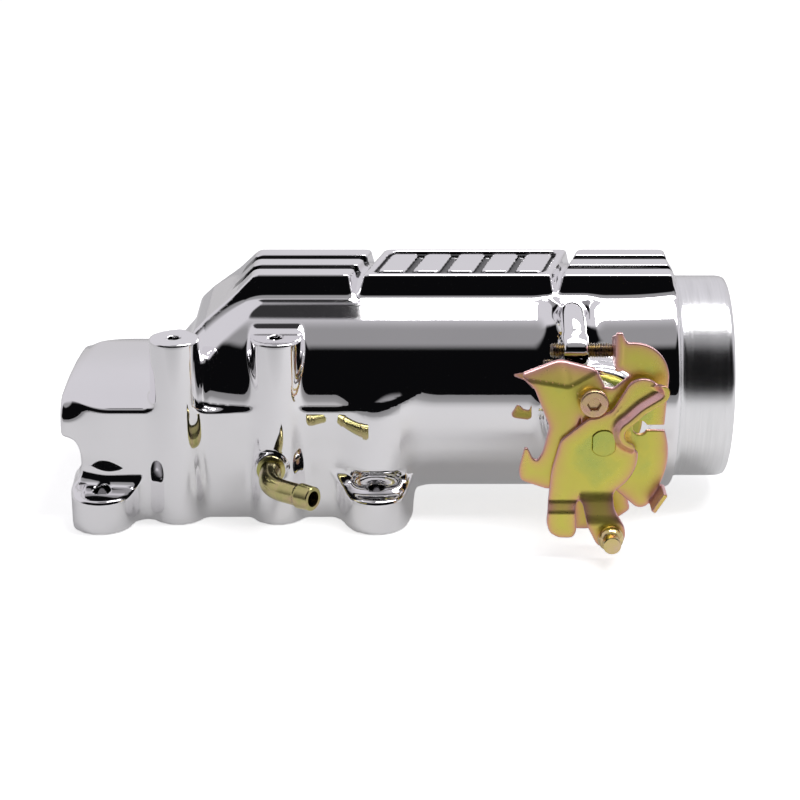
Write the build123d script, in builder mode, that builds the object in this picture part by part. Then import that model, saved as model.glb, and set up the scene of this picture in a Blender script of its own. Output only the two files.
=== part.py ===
"""Elbow throttle body: a cast aluminium duct with a round inlet, a butterfly on a cross shaft, a stamped
throttle lever with its return spring and idle stop, and a flanged plenum foot that bolts to a manifold.

Millimetres. +X runs along the duct towards the inlet, +Z up, -Y is the lever side.
The origin is the centre of the four manifold bolt holes, on the flange face.
"""

import os
from math import cos, radians, sin, sqrt

from build123d import *

# Duct and casting
AXIS_Z = 46.0  # height of the duct axis above the flange face
BORE_R = 37.5  # 75 mm throttle bore
TUBE_R = 45.0
NECK_R = 41.3  # inlet spigot for a 3.25 in coupler
BODY_END_X = 175.0
NECK_END_X = 197.0
DOME_X = 5.0  # centre of the domed elbow end
SLOPE_RISE = 89.2  # the elbow's slanted flat is the plane z = x + SLOPE_RISE
WALL = 5.0

# Manifold foot
HOLE_X = 54.7
HOLE_Y = 48.5
FOOT_R = 12.0
FOOT_H = 14.3
FOOT_ROOT_Y = 38.5
SPOT_R = 8.0
SPOT_DEPTH = 1.2
BOLT_HOLE_R = 3.4
SKIRT_X = (-61.0, 64.0)
SKIRT_HALF_Y = 42.2
SKIRT_TAPER = -3.5  # degrees, the walls lean out upwards

# Plenum nose
NOSE_X = (-71.0, -32.0)
NOSE_HALF_Y = 43.0
NOSE_TOP_Z = 51.5
NOSE_SHOULDER_Z = 50.0
NOSE_SHOULDER_R = 8.0
OVERHANG_X = -63.3
OVERHANG_Z = 35.0
OVERHANG_R = 5.0
SCOOP_H = 12.0

# Air way under the elbow
OUTLET_X = (-56.0, 58.0)
OUTLET_HALF_Y = 37.5
OUTLET_TOP_Z = 41.0
NOSE_CAVITY_X = -36.0
NOSE_CAVITY_Z = 45.0

# Bracket bosses
BOSS_X = (-24.8, 15.2)
BOSS_Y = -39.5
BOSS_R = 10.0
BOSS_TOP_Z = 75.6
TAP_M6_R = 2.5
TAP_DEPTH = 18.0

# Top ribs and plate
TOP_Z = 95.0
PAD_HALF_Y = 18.4
PAD_SKEW = 8.8 / (2 * PAD_HALF_Y)  # slant of every cross cut, mm of x per mm of y
PLATE_X = (53.5, 128.5)  # on the centre line
RIB_ROWS_X = ((48.0, 6.6), (133.0, 173.4))  # slanted end beside the plate, then the square outer end
RIB_COUNT = 3
RIB_W = 9.3
RIB_PITCH = (2 * PAD_HALF_Y - RIB_W) / (RIB_COUNT - 1)
GROOVE_FLOOR_Z = 91.5
RIB_ROOT_Z = AXIS_Z + 32
PANEL_MARGIN = 3.4
PANEL_DEPTH = 1.6
BADGE_BARS = 5
BADGE_GAP = 2.6
BADGE_SINK = 0.4

# Shaft line
SHAFT_X = 141.7
SHAFT_R = 5.0
SHAFT_END_Y = (-78.7, 58.0)
SHAFT_FIT = 0.03  # radial running fit in the bushes
SHAFT_GAP = 0.3  # radial gap through the casting and the spring bush
SHAFT_FLAT = 4.2  # half width across the flats of the lever end
FLATS_Y = -70.6
TANG_HALF = 2.2
SHAFT_BOSS_R = 21.0
BOSS_FACE_Y = 53.0
BUSH_R = 7.5
BUSH_Y = (38.5, 46.5)
SEAL_R = 9.0
SEAL_Y = (46.5, 50.0)
RECESS_R = 11.0
DISC_R = 37.2
DISC_T = 2.0
DISC_SCREW_Y = 14.0
DISC_SCREW_R = 2.4
DISC_SCREW_HEAD_R = 4.0
DISC_SCREW_HEAD_T = 2.2
DISC_SCREW_SEAT = 3.0  # depth of the seat from the shaft axis

# Clip and washer outside the far bush
WASHER_Y = (50.1, 50.9)
WASHER_R = 8.0
CLIP_Y = (51.0, 52.0)
CLIP_R = 8.5
CLIP_GROOVE_R = 4.2

# Lever stack, from the casting outwards
SHEET = 2.0
SPRING_BUSH_R = 8.0
SPRING_BUSH_END_Y = -69.0
COIL_R = 11.0
COIL_WIRE_R = 1.0
COIL_Y = (-54.5, -68.0)
QUADRANT_Y = -73.0  # outer faces of the three plates
LINK_Y = -76.0
LEVER_Y = -78.0
RING_R = 9.0

# Idle stop
STOP_Y = -59.0
STOP_Z = 76.8
STOP_R = 3.0
STOP_TIP_X = 145.7
STOP_LENGTH = 24.0
STOP_TAB_T = 2.2
STOP_TAB_Z = (73.0, 88.4)
STOP_TAB_END_Y = -55.0
STOP_TAB_FALL = 6.8  # its top edge slopes down towards the casting
LUG_X = (127.0, 136.0)
LUG_R = 4.6
LUG_SECTION = [(-12, 84), (-30, 88), (-50, 86), (-60, 81), (-60, 72.5), (-50, 68), (-38, 64), (-12, 64)]

# Pivot screw, ball stud and cable seat
PIVOT_X, PIVOT_Z = 137.6, 61.8
PIVOT_R = 2.9
PIVOT_HEAD_R = 5.5
PIVOT_HEAD_T = 2.8
PIVOT_HEX = 4.5
STUD_X, STUD_Z = 144.6, 10.2
STUD_STEP = 6.0  # how far the stud's ear stands in front of the lever
BALL_R = 5.0
BALL_Y = -86.5
STUD_END_R = 3.4
STUD_SHANK_R = 3.0
STUD_END_Y = -94.3
EAR_R = 6.2
CABLE_X, CABLE_Z = 155.8, 50.3
CABLE_SEAT_R = 2.8
CABLE_SLOT_W = 2.2

# Outlines of the stamped plates, in x and z
HUB_R = 10.5
PIVOT_EAR_R = 6.2
SPRING_ARM = [
    (131.0, 46.0), (132.0, 7.5), (138.0, 7.5), (149.5, 12.7), (153.5, 15.8), (152.5, 19.0), (150.0, 46.0),
]
OPEN_TAB = [(160.4, 19.6), (162.2, 18.5), (166.6, 25.6), (164.8, 26.7)]
OPEN_TAB_REACH = 9.0
LINK_BEND = [(128.3, 67.5), (132.7, 56.1)]
LINK_FLAT = [(128.3, 67.5), (140.4, 71.3), (144.6, 60), (147, 46), (138, 42), (133.5, 50), (132.7, 56.1)]
LINK_HOOK = [
    (128.3, 67.5), (132.7, 56.1), (125.5, 27), (120.8, 26.1), (110.3, 29.8), (109.5, 34.0), (111.6, 43.1),
    (112.9, 42.9), (114.8, 38.7), (116.6, 37.9), (118.6, 41.2), (121.0, 51.7), (114.4, 70.2),
]
LINK_ROOF = [(114.4, 70.2), (128.3, 67.5), (140.4, 71.3), (138.8, 74.6), (124.5, 78.0), (108.5, 73.5)]
HOOK_FOLD = 16.0  # degrees
LEVER_LIP = [
    (163.0, 66.7), (154.9, 61.5), (149.4, 56.2), (146.2, 50.2), (149.8, 44.4), (148.4, 42.9),
    (145.3, 50.5), (147.8, 57.3), (153.8, 63.1), (161.9, 68.4),
]
LIP_REACH = 3.5
PLAIN_STEP = 3.0
PLAIN_EAR = [
    (121.0, 24.0), (131.8, 24.0), (131.2, 19.0), (132.0, 10.8), (130.6, 8.0), (125.1, 8.0), (121.6, 10.0),
    (120.3, 14.2),
]
STUD_EAR = [(134.0, 26.5), (145.8, 26.5), (150.2, 13.5), (150.6, 10.2), (139.0, 7.5), (135.8, 14)]

# Vacuum elbow
BARB_X, BARB_Z = 13.0, 24.6
BARB_FACE_Y = -51.0
BARB_SHANK_R = 4.5
BARB_TUBE_R = 4.2
BARB_BORE_R = 3.1
BARB_RING_R = 5.0
BARB_RING_L = 6.0
BARB_RING_TAPER = 5  # degrees
BARB_COLLAR_R = 5.8
BARB_COLLAR_T = 1.5
BARB_BEND_R = 12.0
BARB_OUT = 19.0  # from the boss face to the corner of the bend
BARB_RUN = 22.7
BARB_TURN = 52.0  # degrees from straight out towards the inlet
BARB_RISE = 2.0  # degrees above the horizontal

# Sensor pad on the far side, and the drilled air passage
SENSOR_PITCH = 46.0
SENSOR_PAD_R = 6.5
TAP_M4_R = 1.65
TAP_M4_DEPTH = 10.0
PASSAGE_X = 95.0
PASSAGE_R = 6.0
PASSAGE_BOSS_R = 10.0
PLUG_T = 3.0

CUT = 1.0  # overshoot of a cutting tool past a face
SIDE = Plane(origin=(0, 0, 0), x_dir=(1, 0, 0), z_dir=(0, -1, 0))  # drawn in x and z, facing the lever side


def side(y):
    """The x, z drawing plane at the given y, facing the lever side."""
    return SIDE.offset(-y)


def section(x):
    """The y, z drawing plane at the given x."""
    return Plane(origin=(x, 0, 0), x_dir=(0, 1, 0), z_dir=(1, 0, 0))


def skewed(x0, x1, y0, y1):
    """A four-sided outline whose ends slant like every cross cut on the top."""
    return [(x + PAD_SKEW * y, y) for x, y in ((x0, y0), (x1, y0), (x1, y1), (x0, y1))]


def rib(slanted, square, y0, y1):
    """A rib's outline: one end slants like the plate's, the other is square."""
    return [(slanted + PAD_SKEW * y0, y0), (slanted + PAD_SKEW * y1, y1), (square, y1), (square, y0)]


def facet(start, end, y, fold):
    """The plane of a facet folded by an angle about the line between two x, z points at y."""
    origin = Vector(start[0], y, start[1])
    along = (Vector(end[0], y, end[1]) - origin).normalized()
    normal = Vector(0, -1, 0).rotate(Axis(origin, along), fold)
    return Plane(origin=origin, x_dir=along, z_dir=normal)


def traced(plane, points):
    """Points given in x and z, moved along Y onto a plane, in the plane's own coordinates."""
    found = []
    for x, z in points:
        run = plane.z_dir.X * (x - plane.origin.X) + plane.z_dir.Z * (z - plane.origin.Z)
        local = plane.to_local_coords(Vector(x, plane.origin.Y - run / plane.z_dir.Y, z))
        found.append((local.X, local.Y))
    return found


def save(builder, label):
    """Label a finished piece and write its STEP file."""
    builder.part.label = label
    export_step(builder.part, f"parts/{label}.step")


os.makedirs("parts", exist_ok=True)

# ---------------------------------------------------------------- casting
with BuildPart() as cavity:  # the air way inside the casting
    with BuildSketch(section(DOME_X)):
        with Locations((0, AXIS_Z)):
            Circle(BORE_R)
    extrude(amount=NECK_END_X - DOME_X + CUT)
    with Locations((DOME_X, 0, AXIS_Z)):
        Sphere(BORE_R)
    split(bisect_by=Plane(origin=(0, 0, SLOPE_RISE - WALL * sqrt(2)), z_dir=(-1, 0, 1)), keep=Keep.BOTTOM)
    with BuildSketch(Plane.XY.offset(-CUT)):
        with Locations(((OUTLET_X[0] + OUTLET_X[1]) / 2, 0)):
            RectangleRounded(OUTLET_X[1] - OUTLET_X[0], 2 * OUTLET_HALF_Y, 10)
    extrude(amount=OUTLET_TOP_Z + CUT)
    with Locations(((OUTLET_X[0] + NOSE_CAVITY_X) / 2, 0, NOSE_CAVITY_Z / 2)):
        Box(NOSE_CAVITY_X - OUTLET_X[0], 2 * OUTLET_HALF_Y, NOSE_CAVITY_Z)

with BuildPart() as body_casting:
    # duct with a domed elbow end, flattened by the slanted plane
    with BuildSketch(section(DOME_X)):
        with Locations((0, AXIS_Z)):
            Circle(TUBE_R)
    extrude(amount=BODY_END_X - DOME_X)
    with Locations((DOME_X, 0, AXIS_Z)):
        Sphere(TUBE_R)
    split(bisect_by=Plane(origin=(0, 0, SLOPE_RISE), z_dir=(-1, 0, 1)), keep=Keep.BOTTOM)
    # inlet spigot
    with BuildSketch(section(BODY_END_X)):
        with Locations((0, AXIS_Z)):
            Circle(NECK_R)
    extrude(amount=NECK_END_X - BODY_END_X)
    # plenum skirt, walls leaning out towards the duct
    with BuildSketch(Plane.XY):
        with Locations(((SKIRT_X[0] + SKIRT_X[1]) / 2, 0)):
            RectangleRounded(SKIRT_X[1] - SKIRT_X[0], 2 * SKIRT_HALF_Y, 12)
    extrude(amount=AXIS_Z, taper=SKIRT_TAPER)
    # plenum nose with an arched roof and rounded shoulders
    with BuildSketch(section(NOSE_X[0])):
        with BuildLine():
            shoulder = (NOSE_HALF_Y, NOSE_SHOULDER_Z)
            roof = ThreePointArc((-NOSE_HALF_Y, NOSE_SHOULDER_Z), (0, NOSE_TOP_Z), shoulder)
            Polyline(roof @ 1, (NOSE_HALF_Y, FOOT_H), (-NOSE_HALF_Y, FOOT_H), roof @ 0)
        make_face()
        fillet(vertices().group_by(Axis.Y)[-1], NOSE_SHOULDER_R)
    extrude(amount=NOSE_X[1] - NOSE_X[0])
    with BuildSketch(side(NOSE_HALF_Y + CUT)):
        with BuildLine():
            Polyline(
                (NOSE_X[0] - CUT, -CUT), (OVERHANG_X, -CUT), (OVERHANG_X, OVERHANG_Z),
                (NOSE_X[0] - CUT, OVERHANG_Z), close=True,
            )
        make_face()
        fillet(vertices().group_by(Axis.Y)[-1].sort_by(Axis.X)[-1], OVERHANG_R)
    extrude(amount=2 * (NOSE_HALF_Y + CUT), mode=Mode.SUBTRACT)
    # scoops over the nose-side feet, then the four bolt feet
    for sy in (-1, 1):
        with Locations((NOSE_X[0] + 13, sy * (NOSE_HALF_Y + 10), FOOT_H)):
            Cylinder(FOOT_R, SCOOP_H, align=(Align.CENTER, Align.CENTER, Align.MIN), mode=Mode.SUBTRACT)
    for sx in (-1, 1):
        for sy in (-1, 1):
            with BuildSketch(Plane.XY):
                with Locations((sx * HOLE_X, sy * (HOLE_Y + FOOT_ROOT_Y) / 2)):
                    Rectangle(2 * FOOT_R, HOLE_Y - FOOT_ROOT_Y)
                with Locations((sx * HOLE_X, sy * HOLE_Y)):
                    Circle(FOOT_R)
            extrude(amount=FOOT_H)
    # tapering columns over the inlet-side feet
    for sy in (-1, 1):
        with Locations((HOLE_X - 2, sy * 37.0, 0)):
            Cone(15, 5, AXIS_Z, align=(Align.CENTER, Align.CENTER, Align.MIN))
    # tall bosses for the cable bracket
    for x in BOSS_X:
        with Locations((x, BOSS_Y, 0)):
            Cylinder(BOSS_R, BOSS_TOP_Z, align=(Align.CENTER, Align.CENTER, Align.MIN))
    # shaft bosses on both sides, with the sensor pad's ears on the far one
    with BuildSketch(side(-BOSS_FACE_Y)):
        with Locations((SHAFT_X, AXIS_Z)):
            Circle(SHAFT_BOSS_R)
    extrude(amount=-2 * BOSS_FACE_Y)
    with BuildSketch(side(BOSS_FACE_Y)):
        with Locations((SHAFT_X, AXIS_Z)):
            SlotCenterToCenter(SENSOR_PITCH, 2 * SENSOR_PAD_R)
    extrude(amount=BOSS_FACE_Y - 20)
    # boss of the drilled air passage, far side
    with BuildSketch(side(BOSS_FACE_Y)):
        with Locations((PASSAGE_X, AXIS_Z)):
            Circle(PASSAGE_BOSS_R)
    extrude(amount=BOSS_FACE_Y - 20)
    # idle stop lug
    with BuildSketch(section(LUG_X[0])):
        with BuildLine():
            Polyline(*LUG_SECTION, close=True)
        make_face()
        with Locations((STOP_Y, STOP_Z)):
            Circle(LUG_R)
    extrude(amount=LUG_X[1] - LUG_X[0])
    # boss under the vacuum elbow
    with BuildSketch(side(BARB_FACE_Y)):
        with Locations((BARB_X, BARB_Z)):
            Circle(BARB_SHANK_R + 3)
    extrude(amount=BARB_FACE_Y + 38, mode=Mode.ADD)
    # top ribs and plate
    with BuildSketch(Plane.XY.offset(RIB_ROOT_Z)):
        with BuildLine():
            Polyline(*skewed(*PLATE_X, -PAD_HALF_Y, PAD_HALF_Y), close=True)
        make_face()
    extrude(amount=TOP_Z - RIB_ROOT_Z)
    for slanted, square in RIB_ROWS_X:
        with BuildSketch(Plane.XY.offset(RIB_ROOT_Z)):
            with BuildLine():
                Polyline(*rib(slanted, square, -PAD_HALF_Y, PAD_HALF_Y), close=True)
            make_face()
        extrude(amount=GROOVE_FLOOR_Z - RIB_ROOT_Z)
        for row in range(RIB_COUNT):
            y0 = -PAD_HALF_Y + row * RIB_PITCH
            with BuildSketch(Plane.XY.offset(GROOVE_FLOOR_Z - CUT)):
                with BuildLine():
                    Polyline(*rib(slanted, square, y0, y0 + RIB_W), close=True)
                make_face()
            extrude(amount=TOP_Z - GROOVE_FLOOR_Z + CUT)
    # recessed panel in the plate, with plain slanted bars standing in it
    half = PAD_HALF_Y - PANEL_MARGIN
    with BuildSketch(Plane.XY.offset(TOP_Z - PANEL_DEPTH)):
        with BuildLine():
            Polyline(*skewed(PLATE_X[0] + PANEL_MARGIN, PLATE_X[1] - PANEL_MARGIN, -half, half), close=True)
        make_face()
    extrude(amount=PANEL_DEPTH + CUT, mode=Mode.SUBTRACT)
    bar_pitch = (PLATE_X[1] - PLATE_X[0] - 2 * PANEL_MARGIN) / BADGE_BARS
    for bar in range(BADGE_BARS):
        x0 = PLATE_X[0] + PANEL_MARGIN + bar * bar_pitch + BADGE_GAP / 2
        with BuildSketch(Plane.XY.offset(TOP_Z - PANEL_DEPTH - CUT)):
            with BuildLine():
                corners = skewed(x0, x0 + bar_pitch - BADGE_GAP, BADGE_GAP - half, half - BADGE_GAP)
                Polyline(*corners, close=True)
            make_face()
        extrude(amount=PANEL_DEPTH + CUT - BADGE_SINK)
    # air way, then every drilled and bored hole
    add(cavity.part, mode=Mode.SUBTRACT)
    with Locations(*[(sx * HOLE_X, sy * HOLE_Y, 0) for sx in (-1, 1) for sy in (-1, 1)]):
        Cylinder(BOLT_HOLE_R, 3 * FOOT_H, mode=Mode.SUBTRACT)
    with Locations(*[(sx * HOLE_X, sy * HOLE_Y, FOOT_H - SPOT_DEPTH) for sx in (-1, 1) for sy in (-1, 1)]):
        Cylinder(SPOT_R, SPOT_DEPTH + CUT, align=(Align.CENTER, Align.CENTER, Align.MIN), mode=Mode.SUBTRACT)
    with Locations(*[(x, BOSS_Y, BOSS_TOP_Z - TAP_DEPTH) for x in BOSS_X]):
        Cylinder(TAP_M6_R, TAP_DEPTH + CUT, align=(Align.CENTER, Align.CENTER, Align.MIN), mode=Mode.SUBTRACT)
    with BuildSketch(side(BOSS_FACE_Y + CUT)):
        with Locations((SHAFT_X, AXIS_Z)):
            Circle(SHAFT_R + SHAFT_GAP)
    extrude(amount=2 * (BOSS_FACE_Y + CUT), mode=Mode.SUBTRACT)
    for near, radius in ((BUSH_Y[0], BUSH_R), (SEAL_Y[0], SEAL_R), (SEAL_Y[1], RECESS_R)):
        for sy in (-1, 1):
            with BuildSketch(side(sy * (BOSS_FACE_Y + CUT))):
                with Locations((SHAFT_X, AXIS_Z)):
                    Circle(radius)
            extrude(amount=sy * (BOSS_FACE_Y + CUT - near), mode=Mode.SUBTRACT)
    with BuildSketch(side(BOSS_FACE_Y)):
        with Locations((SHAFT_X - SENSOR_PITCH / 2, AXIS_Z), (SHAFT_X + SENSOR_PITCH / 2, AXIS_Z)):
            Circle(TAP_M4_R)
    extrude(amount=TAP_M4_DEPTH, mode=Mode.SUBTRACT)
    with BuildSketch(side(BOSS_FACE_Y)):
        with Locations((PASSAGE_X, AXIS_Z)):
            Circle(PASSAGE_R)
    extrude(amount=BOSS_FACE_Y - BORE_R + CUT + 2, mode=Mode.SUBTRACT)
    with BuildSketch(side(BARB_FACE_Y)):
        with Locations((BARB_X, BARB_Z)):
            Circle(BARB_SHANK_R)
    extrude(amount=BARB_FACE_Y + OUTLET_HALF_Y - CUT, mode=Mode.SUBTRACT)
    with BuildSketch(section(LUG_X[0] - CUT)):
        with Locations((STOP_Y, STOP_Z)):
            Circle(STOP_R)
    extrude(amount=LUG_X[1] - LUG_X[0] + 2 * CUT, mode=Mode.SUBTRACT)
save(body_casting, "body_casting")


# ---------------------------------------------------------------- housing pieces
def ring(y0, y1, outer, inner, x=SHAFT_X, z=AXIS_Z):
    """A ring round a cross axis between two y values."""
    with BuildPart() as made:
        with BuildSketch(side(max(y0, y1))):
            with Locations((x, z)):
                Circle(outer)
                if inner:
                    Circle(inner, mode=Mode.SUBTRACT)
        extrude(amount=abs(y1 - y0))
    return made


for sign, place in ((-1, "lever_side"), (1, "sensor_side")):
    save(ring(sign * BUSH_Y[0], sign * BUSH_Y[1], BUSH_R, SHAFT_R + SHAFT_FIT), f"shaft_bearing_{place}")
    save(ring(sign * SEAL_Y[0], sign * SEAL_Y[1], SEAL_R, SHAFT_R + SHAFT_FIT), f"shaft_seal_{place}")

with BuildPart() as spring_bush:
    with BuildSketch(side(-SEAL_Y[1])):
        with Locations((SHAFT_X, AXIS_Z)):
            Circle(RECESS_R)
    extrude(amount=BOSS_FACE_Y - SEAL_Y[1])
    with BuildSketch(side(-BOSS_FACE_Y)):
        with Locations((SHAFT_X, AXIS_Z)):
            Circle(SPRING_BUSH_R)
    extrude(amount=-SPRING_BUSH_END_Y - BOSS_FACE_Y)
    with BuildSketch(side(-SEAL_Y[1])):
        with Locations((SHAFT_X, AXIS_Z)):
            Circle(SHAFT_R + SHAFT_GAP)
    extrude(amount=-SPRING_BUSH_END_Y - SEAL_Y[1], mode=Mode.SUBTRACT)
save(spring_bush, "spring_bush")

save(ring(*COIL_Y, COIL_R + COIL_WIRE_R, COIL_R - COIL_WIRE_R), "return_spring")
save(ring(BOSS_FACE_Y - PLUG_T, BOSS_FACE_Y, PASSAGE_R, 0, x=PASSAGE_X), "bypass_plug")

# vacuum elbow: shank in the boss, a bend, and a barbed end turned towards the inlet
with BuildPart() as vacuum_barb:
    corner = Vector(BARB_X, BARB_FACE_Y - BARB_OUT, BARB_Z)
    turn, rise = radians(BARB_TURN), radians(BARB_RISE)
    out_dir = Vector(sin(turn) * cos(rise), -cos(turn) * cos(rise), sin(rise))
    tip = corner + out_dir * BARB_RUN
    with BuildLine() as route:
        FilletPolyline((BARB_X, -OUTLET_HALF_Y - 2, BARB_Z), corner, tip, radius=BARB_BEND_R)
    with BuildSketch(Plane(origin=route.line @ 0, z_dir=route.line % 0)):
        Circle(BARB_TUBE_R)
    sweep(path=route.line)
    with BuildSketch(side(-OUTLET_HALF_Y - 2)):
        with Locations((BARB_X, BARB_Z)):
            Circle(BARB_SHANK_R)
    extrude(amount=-BARB_FACE_Y - OUTLET_HALF_Y - 2)
    with BuildSketch(side(BARB_FACE_Y)):
        with Locations((BARB_X, BARB_Z)):
            Circle(BARB_COLLAR_R)
    extrude(amount=BARB_COLLAR_T)
    with BuildSketch(Plane(origin=tip - out_dir * BARB_RING_L, z_dir=out_dir)):
        Circle(BARB_RING_R)
    extrude(amount=BARB_RING_L, taper=BARB_RING_TAPER)
    with BuildSketch(Plane(origin=route.line @ 0, z_dir=route.line % 0)):
        Circle(BARB_BORE_R)
    sweep(path=route.line, mode=Mode.SUBTRACT)
save(vacuum_barb, "vacuum_barb")

# ---------------------------------------------------------------- shaft and disc
with BuildPart() as throttle_shaft:
    with BuildSketch(side(SHAFT_END_Y[1])):
        with Locations((SHAFT_X, AXIS_Z)):
            Circle(SHAFT_R)
    extrude(amount=SHAFT_END_Y[1] - SHAFT_END_Y[0])
    for sx in (-1, 1):  # flats at the lever end, then the tang at the sensor end
        with BuildSketch(side(FLATS_Y)):
            with Locations((SHAFT_X + sx * (SHAFT_FLAT + SHAFT_R / 2), AXIS_Z)):
                Rectangle(SHAFT_R, 3 * SHAFT_R)
        extrude(amount=FLATS_Y - SHAFT_END_Y[0] + CUT, mode=Mode.SUBTRACT)
        with BuildSketch(side(SHAFT_END_Y[1])):
            with Locations((SHAFT_X + sx * (TANG_HALF + SHAFT_R / 2), AXIS_Z)):
                Rectangle(SHAFT_R, 3 * SHAFT_R)
        extrude(amount=SHAFT_END_Y[1] - BOSS_FACE_Y, mode=Mode.SUBTRACT)
    with Locations((SHAFT_X, 0, AXIS_Z)):
        Box(DISC_T, 2 * DISC_R + 0.4, 3 * SHAFT_R, mode=Mode.SUBTRACT)
    with BuildSketch(side(CLIP_Y[1])):
        with Locations((SHAFT_X, AXIS_Z)):
            Circle(SHAFT_R + CUT)
            Circle(CLIP_GROOVE_R, mode=Mode.SUBTRACT)
    extrude(amount=CLIP_Y[1] - CLIP_Y[0], mode=Mode.SUBTRACT)
    for sy in (-1, 1):
        with BuildSketch(section(SHAFT_X - SHAFT_R - CUT)):
            with Locations((sy * DISC_SCREW_Y, AXIS_Z)):
                Circle(DISC_SCREW_R)
        extrude(amount=2 * (SHAFT_R + CUT), mode=Mode.SUBTRACT)
        with BuildSketch(section(SHAFT_X + DISC_SCREW_SEAT)):
            with Locations((sy * DISC_SCREW_Y, AXIS_Z)):
                Circle(DISC_SCREW_HEAD_R + 0.2)
        extrude(amount=SHAFT_R, mode=Mode.SUBTRACT)
save(throttle_shaft, "throttle_shaft")

with BuildPart() as throttle_plate:
    with BuildSketch(section(SHAFT_X - DISC_T / 2)):
        with Locations((0, AXIS_Z)):
            Circle(DISC_R)
        with Locations((-DISC_SCREW_Y, AXIS_Z), (DISC_SCREW_Y, AXIS_Z)):
            Circle(DISC_SCREW_R, mode=Mode.SUBTRACT)
    extrude(amount=DISC_T)
save(throttle_plate, "throttle_plate")

with BuildPart() as plate_screws:
    for sy in (-1, 1):
        with BuildSketch(section(SHAFT_X - SHAFT_R)):
            with Locations((sy * DISC_SCREW_Y, AXIS_Z)):
                Circle(DISC_SCREW_R)
        extrude(amount=SHAFT_R + DISC_SCREW_SEAT)
        with BuildSketch(section(SHAFT_X + DISC_SCREW_SEAT)):
            with Locations((sy * DISC_SCREW_Y, AXIS_Z)):
                Circle(DISC_SCREW_HEAD_R)
        extrude(amount=DISC_SCREW_HEAD_T)
        with BuildSketch(section(SHAFT_X + DISC_SCREW_SEAT + DISC_SCREW_HEAD_T)):
            with Locations((sy * DISC_SCREW_Y, AXIS_Z)):
                Rectangle(0.9, 5)
                Rectangle(5, 0.9)
        extrude(amount=-1.2, mode=Mode.SUBTRACT)
save(plate_screws, "plate_screws")

save(ring(*WASHER_Y, WASHER_R, SHAFT_R + SHAFT_FIT), "thrust_washer")
with BuildPart() as shaft_retaining_clip:
    with BuildSketch(side(CLIP_Y[1])):
        with Locations((SHAFT_X, AXIS_Z)):
            Circle(CLIP_R)
            Circle(CLIP_GROOVE_R, mode=Mode.SUBTRACT)
        with Locations((SHAFT_X, AXIS_Z - CLIP_R)):
            Rectangle(CLIP_GROOVE_R, 2 * CLIP_R, mode=Mode.SUBTRACT)
    extrude(amount=CLIP_Y[1] - CLIP_Y[0])
save(shaft_retaining_clip, "shaft_retaining_clip")


# ---------------------------------------------------------------- lever plates
def double_d():
    """The shaft's two-flat outline, cut in the sketch of a plate."""
    with BuildSketch(mode=Mode.PRIVATE) as outline:
        with Locations((SHAFT_X, AXIS_Z)):
            Circle(SHAFT_R)
            Rectangle(2 * SHAFT_FLAT, 3 * SHAFT_R, mode=Mode.INTERSECT)
    return outline.sketch


with BuildPart() as spring_arm_plate:
    with BuildSketch(side(SPRING_BUSH_END_Y - SHAFT_GAP)):
        with BuildLine():
            Polyline(*SPRING_ARM, close=True)
        make_face()
        with Locations((SHAFT_X, AXIS_Z)):
            Circle(HUB_R)
            Circle(SHAFT_R, mode=Mode.SUBTRACT)
    extrude(amount=SPRING_BUSH_END_Y - SHAFT_GAP - QUADRANT_Y - SHEET)
save(spring_arm_plate, "spring_arm_plate")
save(ring(QUADRANT_Y, LINK_Y + SHEET, RING_R, SHAFT_R), "plate_spacer")

with BuildPart() as rear_quadrant_plate:
    with BuildSketch(side(QUADRANT_Y + SHEET)):
        with BuildLine():
            crown = ThreePointArc((149.9, 84.2), (161.0, 81.3), (166.2, 71.0))
            belly = ThreePointArc((165.1, 50.0), (167.0, 38.0), (161.1, 21.6))
            toe = ThreePointArc(belly @ 1, (157.5, 17.3), (154.2, 18.5))
            Line(crown @ 1, belly @ 0)
            Polyline(
                toe @ 1, (147.5, 24.4), (SHAFT_X, 33), (SHAFT_X, 58), (145.1, 63.2), (153.0, 70.8),
                (STOP_TIP_X, 74.8), (STOP_TIP_X, STOP_TAB_Z[1]), (STOP_TIP_X + STOP_TAB_T, STOP_TAB_Z[1]),
                crown @ 0,
            )
        make_face()
        with Locations((SHAFT_X, AXIS_Z)):
            Circle(HUB_R)
        with Locations((PIVOT_X, PIVOT_Z)):
            Circle(PIVOT_EAR_R)
        add(double_d(), mode=Mode.SUBTRACT)
        with Locations((PIVOT_X, PIVOT_Z)):
            Circle(PIVOT_R, mode=Mode.SUBTRACT)
        with Locations((CABLE_X, CABLE_Z)):
            Circle(CABLE_SEAT_R, mode=Mode.SUBTRACT)
        with Locations((CABLE_X + 10, CABLE_Z)):
            Rectangle(20, CABLE_SLOT_W, mode=Mode.SUBTRACT)
    extrude(amount=SHEET)
    # stop tab bent back behind the plate
    with BuildSketch(section(STOP_TIP_X)):
        with BuildLine():
            Polyline(
                (QUADRANT_Y, STOP_TAB_Z[0]), (QUADRANT_Y, STOP_TAB_Z[1]),
                (STOP_TAB_END_Y, STOP_TAB_Z[1] - STOP_TAB_FALL), (STOP_TAB_END_Y, STOP_TAB_Z[0]), close=True,
            )
        make_face()
    extrude(amount=STOP_TAB_T)
    # full-throttle tab bent forward at the lower edge
    with BuildSketch(side(QUADRANT_Y + SHEET)):
        with BuildLine():
            Polyline(*OPEN_TAB, close=True)
        make_face()
    extrude(amount=SHEET + OPEN_TAB_REACH)
save(rear_quadrant_plate, "rear_quadrant_plate")

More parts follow.
